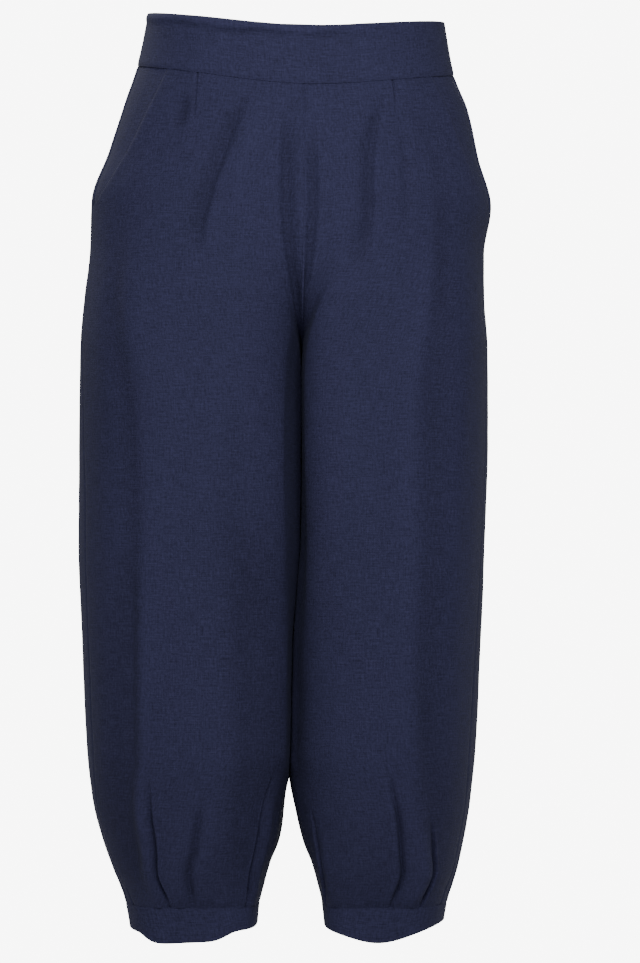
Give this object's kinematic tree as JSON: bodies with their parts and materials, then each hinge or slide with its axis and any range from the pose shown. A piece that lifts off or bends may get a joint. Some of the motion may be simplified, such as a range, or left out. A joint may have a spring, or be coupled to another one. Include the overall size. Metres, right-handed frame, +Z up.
{
  "type": "trousers",
  "caption": "Cropped wide-leg linen trousers with slanted pockets, darted front, gathered back waist and pleated hem bands, held open in the shape they have when worn.",
  "frame": {"origin": "centre of the waist, at half the height of the waistband, where the garment is held on the body", "axes": "+Z up, -Y the front, +X the wearer's left (the right of a viewer who faces the front)"},
  "size_m": [0.4052, 0.2727, 0.9149],
  "materials": {
    "navy_linen": "navy linen, plain weave with fine slubs, matt",
    "navy_linen_facing": "the same navy linen on the pocket facing, which lies in shade"
  },
  "bodies": {
    "root": {"waistband_front": "navy_linen", "waistband_back": "navy_linen", "leg_front_right": "navy_linen", "leg_front_left": "navy_linen", "leg_back_right": "navy_linen", "leg_back_left": "navy_linen", "pocket_facing_right": "navy_linen_facing", "pocket_facing_left": "navy_linen_facing", "hem_band_right": "navy_linen", "hem_band_left": "navy_linen"}
  },
  "joints": []
}
